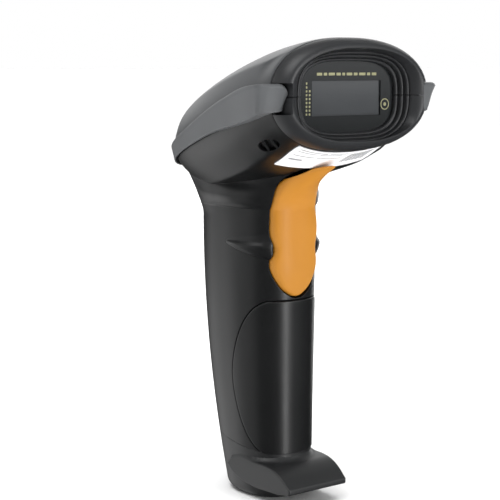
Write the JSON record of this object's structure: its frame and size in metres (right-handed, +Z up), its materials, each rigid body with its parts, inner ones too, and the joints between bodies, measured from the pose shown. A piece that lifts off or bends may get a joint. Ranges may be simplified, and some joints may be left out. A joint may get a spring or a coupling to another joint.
{
  "type": "handheld barcode scanner",
  "caption": "Pistol-grip handheld barcode scanner with a wide scan head, a bumper band, a sprung trigger, a foot on the base cap and a cable socket under the handle.",
  "frame": {"origin": "the middle of the object's outline, on the plane of the base cap's flat underside", "axes": "+Z up along the handle, nose and scan window towards -Y, +X across the head; the housing is symmetric about X = 0"},
  "size_m": [0.074, 0.0939, 0.1631],
  "materials": {
    "cover": "fine moulded texture, mid grey",
    "housing": "satin dark grey",
    "bezel": "satin charcoal",
    "bumper": "matt grey elastomer",
    "trigger": "satin amber orange",
    "window": "polished smoke grey",
    "label": "white polyester film",
    "light_pipe": "frosted translucent",
    "gasket": "matt black",
    "board": "green solder mask on glass-fibre laminate",
    "black_part": "black moulding",
    "flat_cable": "pale film cable",
    "plunger": "grey moulding",
    "steel": "zinc-plated",
    "brass": "bright",
    "copper": "enamelled copper wire",
    "mirror": "front-surface mirror",
    "die_cast": "die-cast"
  },
  "bodies": {
    "housing": {"top_cover": "cover", "status_light_pipe": "light_pipe", "lower_housing": "housing", "nose_bezel_upper": "bezel", "nose_bezel_lower": "bezel", "scan_window": "window", "window_gasket": "gasket", "bumper_band": "bumper", "front_grip_panel": "housing", "base_cap": "cover", "cable_socket": "black_part", "socket_contacts": "brass", "rating_label": "label", "trigger_spring": "steel", "trigger_pin": "steel", "switch_body": "black_part", "engine_chassis": "die_cast", "engine_board": "board", "laser_module": "brass", "collector_mirror": "mirror", "mirror_pivot_pin": "steel", "drive_coil": "copper", "photodiode": "black_part", "main_board": "board", "status_led": "light_pipe", "beeper": "black_part", "handle_board": "board", "ribbon_cable": "flat_cable", "engine_screw_left": "steel", "engine_screw_right": "steel", "main_board_screw_left": "steel", "main_board_screw_right": "steel", "cover_screw_left": "steel", "cover_screw_right": "steel", "handle_board_screw_lower": "steel", "handle_board_screw_upper": "steel", "base_screw": "steel"},
    "trigger_lever": {"trigger": "trigger"},
    "plunger": {"switch_plunger": "plunger"},
    "oscillating_mirror": {"scan_mirror": "mirror", "mirror_magnet": "steel"}
  },
  "joints": [
    {"name": "trigger_pivot", "type": "hinge", "parent": "housing", "child": "trigger_lever", "pos_m": [0, -0.0106, 0.1114], "axis": [1, 0, 0], "range_deg": [0, 4.5], "stiffness_Nm_per_rad": 0.3, "springref_deg": -5.73},
    {"name": "plunger_travel", "type": "slide", "parent": "housing", "child": "plunger", "axis": [0, 1, 0], "range_m": [0, 0.0019]},
    {"name": "mirror_swing", "type": "hinge", "parent": "housing", "child": "oscillating_mirror", "pos_m": [0.0042, -0.0175, 0.1415], "axis": [0, 0, 1], "range_deg": [-10, 10], "stiffness_Nm_per_rad": 0.0004}
  ],
  "couplings": [
    {"joint": "plunger_travel", "follows": "trigger_pivot", "m_per_rad": 0.0234}
  ]
}
